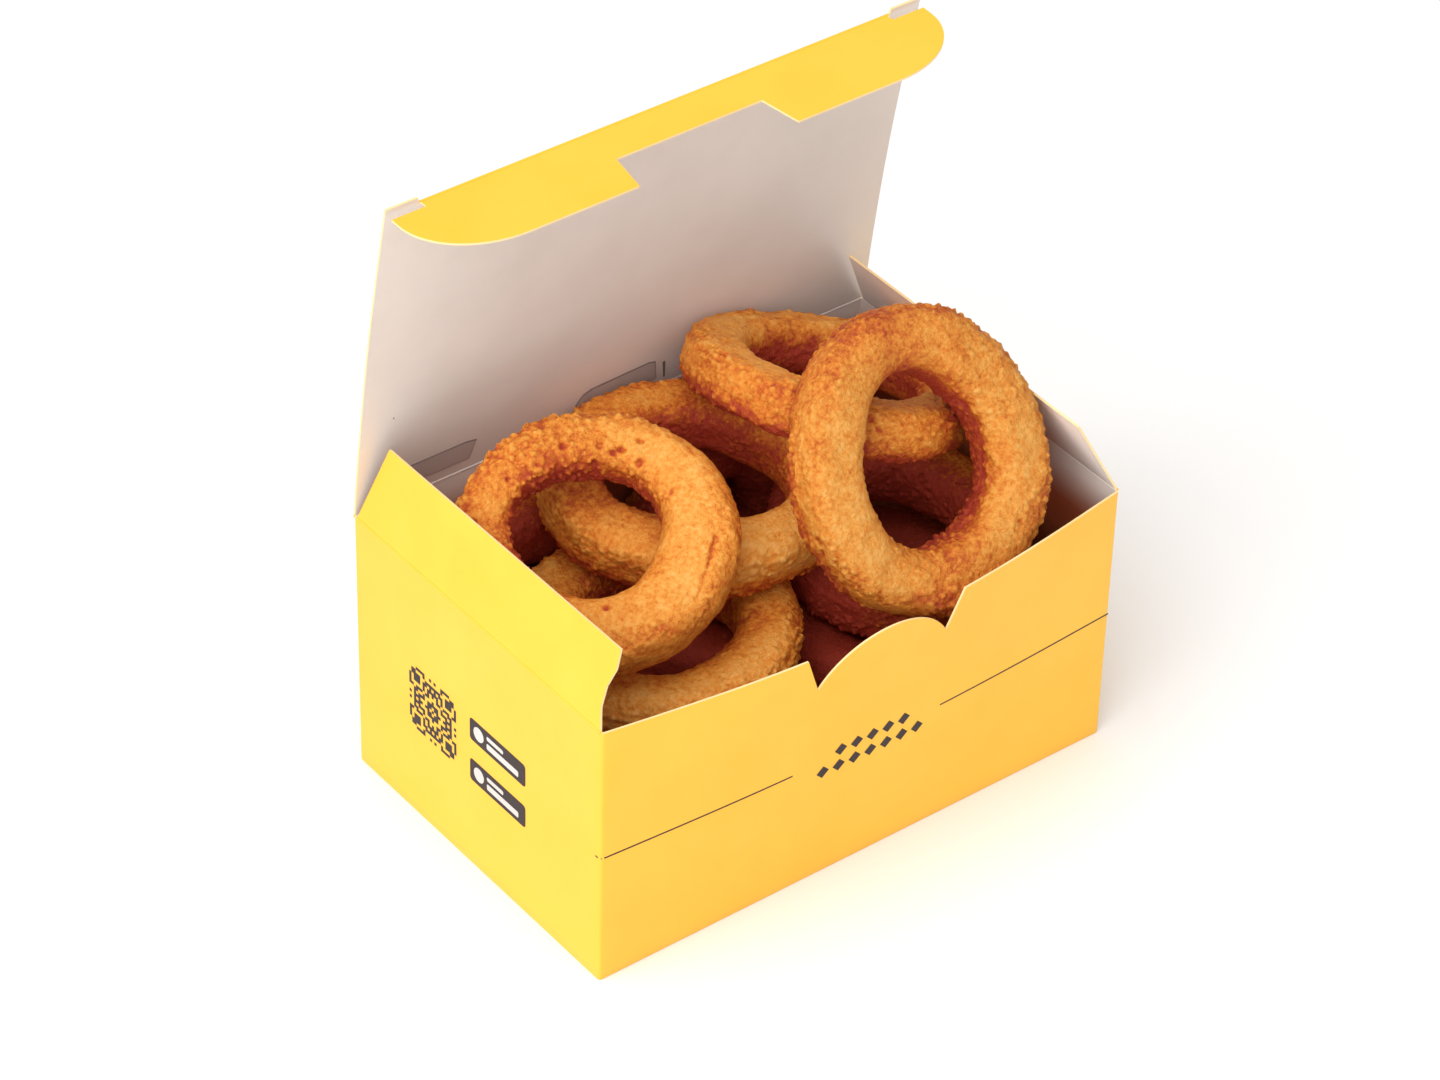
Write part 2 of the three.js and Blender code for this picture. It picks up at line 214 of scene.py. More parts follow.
# Points along the middle of a ring's tube, and sectors in which its radius is measured
LINE_POINTS = 40
SECTORS = 32
CRUST_CLEARANCE = 0.1 * MM

# Noises of the crust: size in mm, seed offset and layers
CRUST_NOISES = {
    "lumps": (12, 0, 3),
    "knobs": (4.2, 20, 3),
    "grain": (1.6, 40, 2),
    "patches": (15, 60, 2),
    "wander": (18, 80, 2),
}
# Strewn crumbs and pits: spacing in mm, seed offset, share of places taken, and reach in spacings
CRUMBS = {"spacing": 1.8, "seed": 100, "share": 0.8, "reach": 0.38, "extra": 0.32}
STREWN_PITS = {"spacing": 5.0, "seed": 120, "share": 0.5, "reach": 0.10, "extra": 0.14}
PIT_SLOPE = (0.5, 1.3)
PIT_WOBBLE = 0.05
PITTED_GROUND = (-0.25, 0.35)
# Single pits and cracks in mm: where the full depth ends and where the crust is level again
SINGLE_PIT_SLOPE = (0.5, 1.5)
SINGLE_PIT_WOBBLE = 0.35
CRACK_SLOPE = (0.25, 1.1)
CRACK_WOBBLE = 0.7
# Bands along the tube by the cosine of the angle round it: middle and width
RIM_BAND = (0.75, 0.28)
HOLE_BAND = (-1, 0.30)
BAND_WANDER = 0.5
# What makes the crust rough
ROUGHNESS = {"base": 0.30, "rim": 0.75, "hole": 0.30, "sandy": 0.6}
ROUGHNESS_RANGE = (0.1, 1.3)
# What each feature adds to the crust's height in mm, everywhere and by roughness
RELIEF = {"base": 0.05, "lumps": 0.45, "knobs": 0.18, "flats": -0.45, "pits": -0.80, "crack": -0.75}
ROUGH_RELIEF = {"crumbs": 0.80, "knobs": 0.14, "grain": 0.26}
# What each feature adds to the browning and to the painted light and shade, everywhere and by roughness
# Painted light and shade among these: shade where rings close in, light on upper sides, shade in hollows,
# highlights on grain
BROWNING_AND_SHADE = {
    "base": 0.04, "lumps": 0.07, "knobs": -0.06, "patches": 0.07, "rim": 0.14, "hole": 0.22,
    "upward": -0.08, "hollows": 0.50, "grain": -0.10, "occlusion_shade": 0.44,
}
# Rough parts browner, and raised crumbs lighter as painted highlights
ROUGH_BROWNING_AND_HIGHLIGHT = {"base": 0.12, "crumbs": -0.32}
OCCLUSION_SHADE_RANGE = (0.4, 1.6)
# The painted occlusion shade counts a ring's own far side too, from this many tube radii away on
FAR_SIDE = 2.2
# Browning that the three fine patterns of the crust's material add at most
BLOTCH_SHARE = 0.40
SPECK_SHARE = 1.35
CRUMB_SHARE = 0.15

# Noise: shifts that keep layers and rings apart, and a distance that counts as none near
LAYER_SHIFT = 17.3
RING_SHIFT = 31.7
FAR = 9.0

# Painted shade on the board, warm from the food: gap to the food, depth below the rim, and how strong it is
PAINTED_SHADE_FULL = 0.5 * MM
PAINTED_SHADE_REACH = 6 * MM
PAINTED_SHADE_TOP = 1 * MM
PAINTED_SHADE_DEPTH = 16 * MM
LID_PAINTED_SHADE = 0.03
FLAP_PAINTED_SHADE = 0.35

# Board: the two colours that it is mottled between, roughness and strength of its fibres
BOARDS = {
    "board_print": ((1.0, 0.51, 0.030), (1.0, 0.54, 0.042), 0.5, 0.15),
    "board_inside": ((0.78, 0.70, 0.63), (0.83, 0.75, 0.68), 0.8, 0.3),
    # The right flap's inside is lighter than the rest of the inside: painted light
    "lit_flap_inside": ((0.92, 0.84, 0.77), (0.96, 0.88, 0.81), 0.8, 0.3),
    # The lid's strips in painted shade; their sides and one end line in painted shadow, which also colours
    # a speck
    "shaded_strip_board": ((0.51, 0.43, 0.39), (0.56, 0.48, 0.44), 0.8, 0.3),
    "shadow_and_speck_board": ((0.18, 0.13, 0.12), (0.22, 0.17, 0.15), 0.8, 0.3),
    "pale_fold_board": ((0.90, 0.84, 0.78), (0.94, 0.88, 0.82), 0.8, 0.3),
    "board_edge": ((0.93, 0.66, 0.30), (0.96, 0.72, 0.38), 0.8, 0.3),
    "ink": ((0.018, 0.008, 0.010), (0.026, 0.012, 0.014), 0.6, 0.1),
    "pale_print": ((0.62, 0.58, 0.55), (0.68, 0.64, 0.60), 0.5, 0.1),
}
# Colours of the painted shade, warm from the food's reflected light
PAINTED_SHADE_COLORS = {"board_inside": (0.42, 0.10, 0.030), "lit_flap_inside": (0.50, 0.17, 0.06)}
MOTTLE_SCALE = 45.0
MOTTLE_RANGE = (0.3, 0.7)
FIBRE_SCALE = 1400.0
FIBRE_DEPTH = 0.1 * MM

# Crust: its colours by browning and painted shade, and the looks of its surface
CRUST_COLORS = [
    (0.0, (0.91, 0.45, 0.110)),
    (0.25, (0.85, 0.35, 0.055)),
    (0.50, (0.75, 0.235, 0.025)),
    (0.75, (0.56, 0.112, 0.013)),
    (1.0, (0.42, 0.045, 0.020)),
]
CRUST_ROUGHNESS = 0.52
CRUST_SPECULAR = 0.26
SUBSURFACE_WEIGHT = 0.08
SUBSURFACE_RADIUS = (1.0, 0.45, 0.15)
SUBSURFACE_SCALE = 1.2 * MM
BLOTCH_SCALE = 300.0
SPECK_SCALE = 900.0
CRUMB_SCALE = 640.0
CRUMB_BUMP = -0.3
BUMP_DEPTH = 0.7 * MM

# Stage: the lights' places, sizes and powers
FLOOR_HALF = 3.0
FLOOR_COLOR = (0.93, 0.93, 0.93, 1)
FLOOR_ROUGHNESS = 0.7
WORLD_COLOR = (1.0, 0.99, 0.98, 1)
WORLD_STRENGTH = 0.60
LIGHT_TARGET = (0, 0, 0.06)
LIGHTS = {
    "key": ((-1.45, -0.50, 1.15), 2.3, 30),
    "fill": ((-0.05, -1.4, 1.3), 1.4, 1.2),
    "overhead": ((-0.6, -0.1, 1.75), 1.8, 16),
}


# Meshes

def link(obj):
    bpy.context.scene.collection.objects.link(obj)
    return obj


def mesh_object(name, points, faces, materials, face_materials, sharp_angle=35):
    mesh = bpy.data.meshes.new(name)
    mesh.from_pydata([tuple(p) for p in points], [], faces)
    for material in materials:
        mesh.materials.append(material)
    mesh.polygons.foreach_set("material_index", face_materials)
    mesh.shade_smooth()
    mesh.set_sharp_from_angle(angle=math.radians(sharp_angle))
    mesh.update()
    return link(bpy.data.objects.new(name, mesh))


def place(obj, body, node=None):
    """Makes a piece ride on its body and the node that it replaces."""
    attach(obj, body)
    if node:
        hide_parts(node)
    return obj


def add_layer(mesh, name, values):
    layer = mesh.attributes.new(name, "FLOAT", "POINT")
    layer.data.foreach_set("value", values.astype(np.float32))


def spread(start, end, steps):
    """Evenly spaced values, both ends among them."""
    return [start + (end - start) * i / steps for i in range(steps + 1)]


def sheet(outer, inner, closed=False, base=False):
    """Points, faces and face materials (0 print, 1 inside, 2 cut edge) of board between two grids."""
    rows = len(outer)
    count = len(outer[0])
    points = [p for row in outer for p in row] + [p for row in inner for p in row]
    half = rows * count
    faces = []
    kinds = []

    def add(kind, *corners):
        faces.append(corners)
        kinds.append(kind)

    spans = count if closed else count - 1
    for j in range(rows - 1):
        for i in range(spans):
            k = (i + 1) % count
            a, b, c, d = j * count + i, j * count + k, (j + 1) * count + k, (j + 1) * count + i
            add(0, a, b, c, d)
            add(1, half + a, half + d, half + c, half + b)
        if not closed:
            low, high = j * count, (j + 1) * count
            add(2, low, high, half + high, half + low)
            low, high = low + count - 1, high + count - 1
            add(2, low, half + low, half + high, high)
    last = (rows - 1) * count
    for i in range(spans):
        k = (i + 1) % count
        add(2, last + i, last + k, half + last + k, half + last + i)
        if not base:
            add(2, i, half + i, half + k, k)
    if base:
        add(0, *reversed(range(count)))
        add(1, *(half + i for i in range(count)))
    return points, faces, kinds


# Carton

def front_bow(x, z):
    """How far the front wall stands out at x and height z."""
    along = math.sin(math.pi * min(1, max(0, (x + LENGTH / 2) / LENGTH)))
    return FRONT_BOW * along * (max(z, 0) / HEIGHT) ** BOW_RISE


def front_rim(x):
    """Height of the front wall's rim, with its notches and its thumb tab."""
    across = abs(x)
    notch_floor = HEIGHT - NOTCH_DEPTH
    if across <= TAB_HALF_WIDTH:
        chord_drop = math.sqrt(TAB_RADIUS ** 2 - TAB_HALF_WIDTH ** 2)
        return notch_floor + math.sqrt(TAB_RADIUS ** 2 - across ** 2) - chord_drop
    climb = min(1, (across - TAB_HALF_WIDTH) / (NOTCH_MOUTH - TAB_HALF_WIDTH))
    return notch_floor + NOTCH_DEPTH * climb


def plan_columns():
    """Stations round the carton, counter-clockwise from above: x, y, the outward normal, rim height."""
    half_x = LENGTH / 2
    half_y = DEPTH / 2
    inner_x = half_x - CORNER
    inner_y = half_y - CORNER
    xs = spread(-inner_x, -NOTCH_MOUTH, SHOULDER_STEPS)
    xs += spread(-TAB_HALF_WIDTH, TAB_HALF_WIDTH, TAB_STEPS)
    xs += spread(NOTCH_MOUTH, inner_x, SHOULDER_STEPS)
    stations = [(x, -half_y, 0, -1, front_rim(x)) for x in xs]
    corners = [(inner_x, -inner_y, -90), (inner_x, inner_y, 0),
               (-inner_x, inner_y, 90), (-inner_x, -inner_y, 180)]
    walls = [
        [(half_x, y, 1, 0) for y in spread(-inner_y, inner_y, END_WALL_STEPS)[1:]],
        [(x, half_y, 0, 1) for x in spread(inner_x, -inner_x, BACK_WALL_STEPS)[1:]],
        [(-half_x, y, -1, 0) for y in spread(inner_y, -inner_y, END_WALL_STEPS)[1:]],
        [],
    ]
    for (cx, cy, start), wall in zip(corners, walls):
        steps = CORNER_STEPS if wall else CORNER_STEPS - 1
        for step in range(1, steps + 1):
            angle = math.radians(start + 90 / CORNER_STEPS * step)
            nx, ny = math.cos(angle), math.sin(angle)
            stations.append((cx + CORNER * nx, cy + CORNER * ny, nx, ny, HEIGHT))
        stations += [(x, y, nx, ny, HEIGHT) for x, y, nx, ny in wall]
    return stations


def wall_point(station, z, inset):
    """A station's point at height z, moved in by `inset`, with the front wall's bow."""
    x, y, nx, ny, _ = station
    shift = front_bow(x, z) * max(0, -ny)
    return (x - nx * inset, y - ny * inset - shift, z)


def make_carton(board, inside, edge):
    stations = plan_columns()
    outer = []
    inner = []
    for z, inset, inner_z in LOWER_EDGE:
        outer.append([wall_point(s, z, inset) for s in stations])
        inner.append([wall_point(s, inner_z, BOARD) for s in stations])
    for f in spread(0, 1, WALL_ROWS):
        outer.append([wall_point(s, BOARD + (s[4] - BOARD) * f, 0) for s in stations])
        inner.append([wall_point(s, INNER_FOOT + (s[4] - INNER_FOOT) * f, BOARD) for s in stations])
    points, faces, kinds = sheet(outer, inner, closed=True, base=True)
    obj = mesh_object("carton_board", points, faces, [board, inside, edge], kinds, sharp_angle=40)
    return place(obj, "carton", "carton")


# Lid, tuck flap and dust flaps

def lid_to_world(x, y, z):
    """From the lid's own frame: y out of its back, z up from its crease."""
    c, s = math.cos(LID_LEAN), math.sin(LID_LEAN)
    return (x, DEPTH / 2 - BOARD / 2 + y * c - z * s, HEIGHT + y * s + z * c)


def tuck_to_world(x, y, z):
    """From the tuck flap's own frame: y out of its printed side, z from its crease to its free edge."""
    c, s = math.cos(TUCK_FOLD), math.sin(TUCK_FOLD)
    return lid_to_world(x, y * c - z * s, LID_HEIGHT + y * s + z * c)


def lid_face(z):
    """Place of the lid's inside face, which is a little bowed."""
    return LID_BOW * math.sin(math.pi * min(z, LID_HEIGHT) / LID_HEIGHT) - BOARD / 2


def make_lid(board, inside, edge):
    half = LENGTH / 2
    ear = half - EAR_LENGTH
    xs = [-half, -ear - EAR_SLOPE] + spread(-ear, ear, LID_COLUMNS) + [ear + EAR_SLOPE, half]
    edge_height = LID_HEIGHT - LID_EDGE_GAP
    top = [LID_HEIGHT + EAR_HEIGHT if abs(x) > ear + EAR_SLOPE / 2 else edge_height for x in xs]
    front = []
    back = []
    for f in spread(0, 1, LID_ROWS):
        zs = [CREASE + (t - CREASE) * f for t in top]
        front.append([lid_to_world(x, lid_face(z), z) for x, z in zip(xs, zs)])
        back.append([lid_to_world(x, lid_face(z) + BOARD, z) for x, z in zip(xs, zs)])
    points, faces, kinds = sheet(front, back)
    obj = mesh_object("lid_board", points, faces, [inside, board, edge], kinds)
    return place(obj, "lid", "lid")


def make_lid_marks(shaded_strip, shadow_and_speck):
    """Low strips pressed out of the lid above its crease in painted shade, with painted shadow on their
    sides and in a thin line at one end, and a dark speck.
    """
    for name, outline in (LID_STRIPS | THIN_MARKS).items():
        flat = name in LID_STRIPS
        bevel = STRIP_BEVEL if flat else THIN_BEVEL
        rise = STRIP_RISE if flat else THIN_RISE
        count = len(outline)
        middle_x = sum(x for x, _ in outline) / count
        middle_z = sum(z for _, z in outline) / count
        low = []
        high = []
        for x, z in outline:
            inner_x = (x + math.copysign(bevel, middle_x - x)) * MM
            inner_z = (z + math.copysign(bevel, middle_z - z)) * MM
            low.append(lid_to_world(x * MM, lid_face(z * MM) + BOARD / 4, z * MM))
            high.append(lid_to_world(inner_x, lid_face(inner_z) - rise * MM, inner_z))
        faces = [tuple(range(count, 2 * count))]
        faces += [(i, (i + 1) % count, count + (i + 1) % count, count + i) for i in range(count)]
        kinds = [0 if flat else 1] + [1] * count
        obj = mesh_object("lid_strip_" + name, low + high, faces, [shaded_strip, shadow_and_speck], kinds,
                          sharp_angle=20)
        place(obj, "lid")


def ellipse_corner(cx, cy, start, end):
    return [(cx + TUCK_CORNER_WIDTH * math.cos(a), cy + TUCK_CORNER_DEPTH * math.sin(a))
            for a in spread(start, end, TUCK_CORNER_STEPS)]


def tuck_outline():
    """The tuck flap's outline as x and distance from its crease."""
    half = LENGTH / 2 - TUCK_SIDE_INSET
    ear = LENGTH / 2 - EAR_LENGTH
    flat = half - TUCK_CORNER_WIDTH
    shoulder = TUCK_DEPTH - TUCK_CORNER_DEPTH
    mouth = TUCK_NOTCH_HALF_WIDTH + TUCK_NOTCH_SLANT
    floor = TUCK_NOTCH_HALF_WIDTH - TUCK_NOTCH_SLANT
    inner = ear - EAR_SLOPE
    clear = EAR_HEIGHT + CREASE
    shape = [(-inner, CREASE), (inner, CREASE), (inner, clear), (half, clear)]
    shape += ellipse_corner(flat, shoulder, 0, math.pi / 2)
    shape += [(mouth, TUCK_DEPTH), (floor, TUCK_DEPTH - TUCK_NOTCH_DEPTH)]
    shape += [(-floor, TUCK_DEPTH - TUCK_NOTCH_DEPTH), (-mouth, TUCK_DEPTH)]
    shape += ellipse_corner(-flat, shoulder, math.pi / 2, math.pi)
    shape += [(-half, clear), (-inner, clear)]
    return shape


def make_tuck_flap(board, inside, edge):
    outline = tuck_outline()
    count = len(outline)
    points = [tuck_to_world(u, -BOARD / 2, v) for u, v in outline]
    points += [tuck_to_world(u, BOARD / 2, v) for u, v in outline]
    faces = [tuple(range(count)), tuple(reversed(range(count, 2 * count)))]
    faces += [(i, count + i, count + (i + 1) % count, (i + 1) % count) for i in range(count)]
    kinds = [0, 1] + [2] * count
    obj = mesh_object("tuck_flap_board", points, faces, [inside, board, edge], kinds, sharp_angle=50)
    return place(obj, "tuck_flap", "tuck_flap")


def flap_to_world(side, lean):
    """From a dust flap's own frame: u along its crease, w out of its printed side, v up from its crease."""
    c, s = math.cos(lean), math.sin(lean)

    def convert(u, w, v):
        return (side * (LENGTH / 2 - BOARD / 2 + w * c - v * s), u, HEIGHT + w * s + v * c)

    return convert


def make_dust_flap(name, side, flap, materials):
    """A dust flap on the left end wall, where `side` is -1, or on the right one, where it is 1."""
    front = -DEPTH / 2 + FLAP_ROOT_INSET
    back = DEPTH / 2 - FLAP_LID_CLEARANCE
    convert = flap_to_world(side, flap["lean"])
    cut_u = [u for u, _ in flap["front"]]
    cut_v = [v for _, v in flap["front"]]
    outer = []
    inner = []
    for v in spread(CREASE, flap["height"], FLAP_ROWS):
        start = front + float(np.interp(v, cut_v, cut_u))
        end = back - flap["back"] * (v - CREASE) / (flap["height"] - CREASE)
        row = spread(start, end, FLAP_COLUMNS)
        outer.append([convert(u, BOARD / 2, v) for u in row])
        inner.append([convert(u, -BOARD / 2, v) for u in row])
    if side < 0:
        outer = [row[::-1] for row in outer]
        inner = [row[::-1] for row in inner]
    points, faces, kinds = sheet(outer, inner)
    obj = mesh_object(name + "_board", points, faces, materials, kinds)
    return place(obj, name, name)


def make_crease(name, start, end, outward, body, materials):
    """A rounded crease between two panels, printed on its outer half and paler on its inner one."""
    start, end = Vector(start), Vector(end)
    along = (end - start).normalized()
    outward = Vector(outward).normalized()
    side = along.cross(outward)
    points = []
    faces = []
    kinds = []
    for centre in (start, end):
        for j in range(CREASE_SIDES):
            a = 2 * math.pi * j / CREASE_SIDES
            points.append(centre + CREASE_RADIUS * (math.cos(a) * outward + math.sin(a) * side))
    for j in range(CREASE_SIDES):
        k = (j + 1) % CREASE_SIDES
        faces.append((j, k, CREASE_SIDES + k, CREASE_SIDES + j))
        kinds.append(0 if math.cos(2 * math.pi * (j + 0.5) / CREASE_SIDES) > CREASE_PRINT_END else 1)
    faces += [tuple(reversed(range(CREASE_SIDES))), tuple(range(CREASE_SIDES, 2 * CREASE_SIDES))]
    kinds += [0, 0]
    obj = mesh_object(name, points, faces, materials, kinds, sharp_angle=50)
    return place(obj, body)


def make_creases(materials):
    half = LENGTH / 2
    x = half - BOARD / 2
    front = -DEPTH / 2 + FLAP_ROOT_INSET
    back = DEPTH / 2 - FLAP_LID_CLEARANCE
    y = DEPTH / 2 - BOARD / 2
    ear = half - EAR_LENGTH
    tuck_ends = [lid_to_world(end, 0, LID_HEIGHT) for end in (-ear, ear)]
    creases = [
        ("crease_left", (-x, front, HEIGHT), (-x, back, HEIGHT), (-1, 0, 0.3), "left_flap"),
        ("crease_right", (x, front, HEIGHT), (x, back, HEIGHT), (1, 0, 0.3), "right_flap"),
        ("crease_lid", (-half, y, HEIGHT), (half, y, HEIGHT), (0, 1, 0), "lid"),
        ("crease_tuck", *tuck_ends, (0, 0.5, 1), "tuck_flap"),
    ]
    for name, start, end, outward, body in creases:
        make_crease(name, start, end, outward, body, materials)


# Seeded noise

def lattice(cells, seed):
    """A random value from 0 to 1 for each cell of a grid, by hashing its whole numbers and the seed."""
    cells = cells.astype(np.int64)
    mixed = cells[:, 0] * 374761393 + cells[:, 1] * 668265263 + cells[:, 2] * 1440662683 + seed * 974634777
    mixed = (mixed ^ (mixed >> 13)) * 1274126177
    mixed &= 0xFFFFFFFF
    mixed = (mixed ^ (mixed >> 16)) * 2246822519
    mixed &= 0xFFFFFFFF
    mixed ^= mixed >> 15
    return (mixed & 0xFFFFFF) / float(0xFFFFFF)


def smooth_noise(points, seed):
    """Value noise from -1 to 1 with a cell of 1."""
    base = np.floor(points)
    part = points - base
    part = part * part * part * (part * (part * 6 - 15) + 10)
    total = np.zeros(len(points))
    for dx in (0, 1):
        for dy in (0, 1):
            for dz in (0, 1):
                weight = np.where(dx, part[:, 0], 1 - part[:, 0])
                weight = weight * np.where(dy, part[:, 1], 1 - part[:, 1])
                weight = weight * np.where(dz, part[:, 2], 1 - part[:, 2])
                total += weight * lattice(base + (dx, dy, dz), seed)
    return total * 2 - 1


def layered_noise(points, size, seed, layers):
    """Value noise in layers, each half as large and half as strong as the one before."""
    total = np.zeros(len(points))
    share = 1.0
    for layer in range(layers):
        turned = points[:, [layer % 3, (layer + 1) % 3, (layer + 2) % 3]]
        total += share * smooth_noise(turned / size * 2 ** layer + LAYER_SHIFT * layer, seed + layer)
        share *= 0.5
    return total


def cell_spots(points, size, seed, chosen):
    """For each point the nearest chosen seed point: distance in cells, and that cell's random value."""
    scaled = points / size
    base = np.floor(scaled)
    nearest = np.full(len(points), FAR)
    value = np.zeros(len(points))
    for dx in (-1, 0, 1):
        for dy in (-1, 0, 1):
            for dz in (-1, 0, 1):
                cell = base + (dx, dy, dz)
                spot = np.stack([lattice(cell, seed + k) for k in range(3)], axis=1)
                rank = lattice(cell, seed + 7)
                distance = np.linalg.norm(cell + spot - scaled, axis=1)
                distance = np.where(rank < chosen, distance, FAR)
                closer = distance < nearest
                nearest = np.where(closer, distance, nearest)
                value = np.where(closer, lattice(cell, seed + 11), value)
    return nearest, value


def ramp(value, low, high):
    """From 0 at `low` to 1 at `high`, smoothly."""
    t = np.clip((value - low) / (high - low), 0, 1)
    return t * t * (3 - 2 * t)


# Rings

def subdivided(name, level):
    """The node's solid as a new mesh, smoothed by subdivision."""
    work = bmesh.new()
    work.from_mesh(frame["nodes"][name].data)
    bmesh.ops.remove_doubles(work, verts=work.verts, dist=1e-6)
    mesh = bpy.data.meshes.new("work")
    work.to_mesh(mesh)
    work.free()
    obj = link(bpy.data.objects.new("work", mesh))
    modifier = obj.modifiers.new("Subdivision", "SUBSURF")
    modifier.levels = level
    modifier.render_levels = level
    evaluated = obj.evaluated_get(bpy.context.evaluated_depsgraph_get())
    result = bpy.data.meshes.new_from_object(evaluated)
    bpy.data.objects.remove(obj)
    bpy.data.meshes.remove(mesh)
    return result


def tube_angle(points):
    """Angle round a ring's tube: 0 faces outward, a quarter turn along the normal of the ring's plane."""
    centre = points.mean(axis=0)
    _, _, axes = np.linalg.svd(points - centre, full_matrices=False)
    normal = axes[2] if axes[2][2] >= 0 else -axes[2]
    first = axes[0]
    second = np.cross(normal, first)
    local = points - centre
    u, v, w = local @ first, local @ second, local @ normal
    angle = np.arctan2(v, u)
    radius = np.hypot(u, v)
    index = ((angle + math.pi) / (2 * math.pi) * SECTORS).astype(int) % SECTORS
    counts = np.maximum(np.bincount(index, minlength=SECTORS), 1)
    middle_angle = (np.arange(SECTORS) + 0.5) / SECTORS * 2 * math.pi - math.pi
    mean_radius = np.bincount(index, radius, SECTORS) / counts
    mean_height = np.bincount(index, w, SECTORS) / counts
    line_radius = np.interp(angle, middle_angle, mean_radius, period=2 * math.pi)
    line_height = np.interp(angle, middle_angle, mean_height, period=2 * math.pi)
    return np.arctan2(w - line_height, radius - line_radius)


def keep_inside(points):
    """Holds a ring's crust off the board round it."""
    gap = BOARD + CRUST_CLEARANCE
    points[:, 2] = np.maximum(points[:, 2], gap)
    points[:, 1] = np.minimum(points[:, 1], DEPTH / 2 - gap)
    low = points[:, 2] < HEIGHT
    limit = LENGTH / 2 - gap
    points[low, 0] = np.clip(points[low, 0], -limit, limit)
    c, s = math.cos(LID_LEAN), math.sin(LID_LEAN)
    behind = ((points[:, 1] - DEPTH / 2 + BOARD / 2) * c + (points[:, 2] - HEIGHT) * s
              + BOARD / 2 + CRUST_CLEARANCE)
    over = np.where(~low, np.maximum(behind, 0), 0)
    points[:, 1] -= over * c
    points[:, 2] -= over * s
    return points


def centre_line(name):
    """Points along the middle of a ring's tube, and the tube's mean radius."""
    mesh = frame["nodes"][name].data
    points = np.array([vertex.co for vertex in mesh.vertices])
    centre = points.mean(axis=0)
    _, _, axes = np.linalg.svd(points - centre, full_matrices=False)
    local = (points - centre) @ axes.T
    angle = np.arctan2(local[:, 1], local[:, 0])
    index = ((angle + math.pi) / (2 * math.pi) * LINE_POINTS).astype(int) % LINE_POINTS
    line = np.array([points[index == k].mean(axis=0) for k in range(LINE_POINTS) if np.any(index == k)])
    nearest = np.linalg.norm(points[:, None, :] - line[None, :, :], axis=2).min(axis=1)
    return line, nearest.mean()


def occlusion(points, normals, own, lines):
    """How much of the view out of each point the other rings and the ring's own far side take up."""
    total = np.zeros(len(points), np.float32)
    points = points.astype(np.float32)
    normals = normals.astype(np.float32)
    for name, (line, radius) in lines.items():
        length = np.linalg.norm(np.roll(line, -1, axis=0) - line, axis=1).mean()
        share = radius * length * 2 / math.pi
        for x, y, z in line.astype(np.float32):
            dx, dy, dz = x - points[:, 0], y - points[:, 1], z - points[:, 2]
            square = dx * dx + dy * dy + dz * dz
            distance = np.sqrt(square)
            facing = (dx * normals[:, 0] + dy * normals[:, 1] + dz * normals[:, 2]) / distance
            if name == own:
                facing = np.where(distance > FAR_SIDE * radius, facing, 0)
            total += np.maximum(facing, 0) * share / np.maximum(square, radius * radius)
    return total


def paint_board_shade(obj, lines, share=1.0):
    """Writes the painted shade on each point of the board, from 0 to `share`: darker beside the food and
    below the rim.
    """
    mesh = obj.data
    points = np.array([vertex.co for vertex in mesh.vertices])
    gap = np.full(len(points), 1.0)
    for line, radius in lines.values():
        distance = np.linalg.norm(points[:, None, :] - line[None, :, :], axis=2).min(axis=1)
        gap = np.minimum(gap, distance - radius)
    # Painted shade: darker close to the food and further below the rim
    near = 1 - ramp(gap, PAINTED_SHADE_FULL, PAINTED_SHADE_REACH)
    deep = ramp(HEIGHT - points[:, 2], PAINTED_SHADE_TOP, PAINTED_SHADE_DEPTH)
    add_layer(mesh, "painted_shade", share * np.maximum(near, deep))


def band(cosine, middle, width):
    return np.exp(-((cosine - middle) / width) ** 2)


def strewn(points, seed, kind):
    """Distance to the nearest crumb or pit, and how far that one reaches, both in spacings."""
    distance, value = cell_spots(points, kind["spacing"], seed + kind["seed"], kind["share"])
    return distance, kind["reach"] + kind["extra"] * value


def pit_depth(name, points, shifted, seed, grain, sandy):
    """How deep in a pit each point is, from 0 to 1. Strewn pits keep to the sandy ground."""
    distance, reach = strewn(shifted, seed, STREWN_PITS)
    pits = 1 - ramp(distance + PIT_WOBBLE * grain, reach * PIT_SLOPE[0], reach * PIT_SLOPE[1])
    pits = pits * ramp(sandy, *PITTED_GROUND)
    for place_at in PITS.get(name, ()):
        off = np.linalg.norm(points - place_at, axis=1) + SINGLE_PIT_WOBBLE * grain
        pits = np.maximum(pits, 1 - ramp(off, *SINGLE_PIT_SLOPE))
    return pits


def crack_depth(name, points, knobs):
    """How deep in a crack each point is, from 0 to 1."""
    split = np.full(len(points), FAR)
    path = np.array(CRACKS.get(name, ()))
    for start, end in zip(path[:-1], path[1:]):
        step = end - start
        part = np.clip((points - start) @ step / np.sum(step ** 2), 0, 1)
        off = np.linalg.norm(points - start - part[:, None] * step, axis=1)
        split = np.minimum(split, off)
    return 1 - ramp(np.abs(split + CRACK_WOBBLE * knobs), *CRACK_SLOPE)


